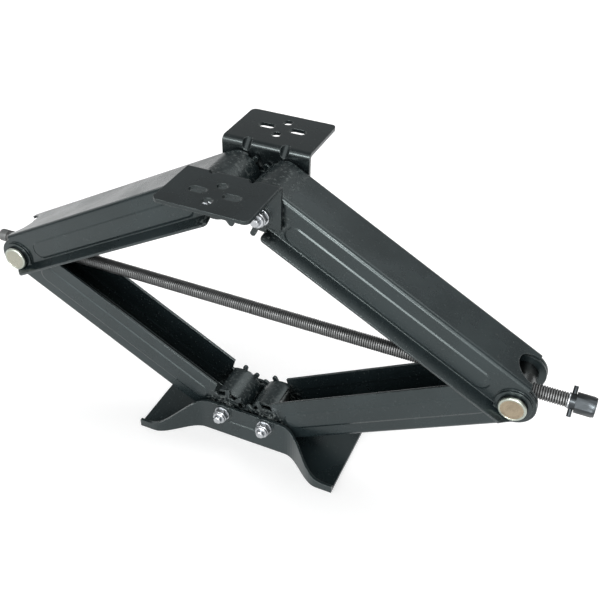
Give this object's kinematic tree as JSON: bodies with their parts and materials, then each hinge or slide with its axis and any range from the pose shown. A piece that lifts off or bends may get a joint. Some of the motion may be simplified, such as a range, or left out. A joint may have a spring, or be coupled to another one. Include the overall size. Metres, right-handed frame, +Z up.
{
  "type": "scissor jack",
  "caption": "Scissor stabiliser jack: four pressed channel arms geared at foot and saddle, one cross screw with hexagon drive, two slotted top flanges.",
  "frame": {"origin": "on the ground under the middle of the foot, midway between the two base pivots", "axes": "+X along the screw towards the drive hexagon, +Y towards the rear bracket, +Z up"},
  "size_m": [0.7495, 0.2186, 0.3835],
  "materials": {
    "arm_paint": "satin blue-black paint on pressed steel",
    "foot_paint": "satin blue-black paint on pressed steel",
    "bracket_paint": "satin blue-black paint on pressed steel",
    "zinc": "bright zinc plate",
    "nylon": "plastic locking insert",
    "bare_steel": "bare tube, lightly greased",
    "trunnion_plate": "yellow passivated zinc plate",
    "oiled_steel": "rolled thread, oiled",
    "dark_oxide": "dark oxide"
  },
  "bodies": {
    "foot": {"base_foot": "foot_paint", "base_pivot_sleeves": "bare_steel", "base_pivot_bolts": "zinc", "base_pivot_washers": "zinc", "base_pivot_nuts": "zinc", "base_nut_inserts": "nylon"},
    "lower_left": {"lower_left_arm": "arm_paint"},
    "lower_right": {"lower_right_arm": "arm_paint"},
    "upper_left": {"upper_left_arm": "arm_paint"},
    "upper_right": {"upper_right_arm": "arm_paint"},
    "saddle": {"front_bracket": "bracket_paint", "rear_bracket": "bracket_paint", "top_pivot_sleeves": "bare_steel", "top_pivot_bolts": "zinc", "top_pivot_washers": "zinc", "top_pivot_nuts": "zinc", "top_nut_inserts": "nylon"},
    "left_nut": {"left_trunnion": "trunnion_plate"},
    "right_nut": {"right_trunnion": "trunnion_plate"},
    "ring": {"stop_ring": "zinc"},
    "screw": {"lead_screw": "oiled_steel", "hex_drive": "dark_oxide", "drive_cross_pin": "dark_oxide"}
  },
  "joints": [
    {"name": "lift", "type": "hinge", "parent": "foot", "child": "lower_left", "pos_m": [-0.0292, 0, 0.0368], "axis": [0, 1, 0], "range_deg": [-21.5, 28]},
    {"name": "lower_right_pivot", "type": "hinge", "parent": "foot", "child": "lower_right", "pos_m": [0.0292, 0, 0.0368], "axis": [0, 1, 0], "range_deg": [-29, 22.5]},
    {"name": "upper_left_pivot", "type": "hinge", "parent": "lower_left", "child": "upper_left", "pos_m": [-0.30989, 0, 0.19047], "axis": [0, 1, 0], "range_deg": [-57, 44]},
    {"name": "upper_right_pivot", "type": "hinge", "parent": "lower_right", "child": "upper_right", "pos_m": [0.30989, 0, 0.19047], "axis": [0, 1, 0], "range_deg": [-44, 57]},
    {"name": "saddle_pivot", "type": "hinge", "parent": "upper_left", "child": "saddle", "pos_m": [-0.0292, 0, 0.34414], "axis": [0, 1, 0], "range_deg": [-22.5, 29]},
    {"name": "left_trunnion_turn", "type": "hinge", "parent": "lower_left", "child": "left_nut", "pos_m": [-0.30989, 0, 0.19047], "axis": [0, 1, 0], "range_deg": [-29, 22.5]},
    {"name": "right_trunnion_turn", "type": "hinge", "parent": "lower_right", "child": "right_nut", "pos_m": [0.30989, 0, 0.19047], "axis": [0, 1, 0], "range_deg": [-22.5, 29]},
    {"name": "screw_shift", "type": "slide", "parent": "left_nut", "child": "ring", "axis": [1, 0, 0], "range_m": [-0.05568, 0.0432]},
    {"name": "screw_turn", "type": "hinge", "parent": "ring", "child": "screw", "pos_m": [0, 0, 0.19047], "axis": [1, 0, 0], "continuous": true}
  ],
  "couplings": [
    {"joint": "lower_right_pivot", "follows": "lift", "ratio": -1},
    {"joint": "upper_left_pivot", "follows": "lift", "ratio": -2},
    {"joint": "upper_right_pivot", "follows": "lift", "ratio": 2},
    {"joint": "saddle_pivot", "follows": "lift", "ratio": 1},
    {"joint": "left_trunnion_turn", "follows": "lift", "ratio": -1},
    {"joint": "right_trunnion_turn", "follows": "lift", "ratio": 1},
    {"joint": "screw_shift", "follows": "lift", "m_per_rad": -0.11}
  ]
}
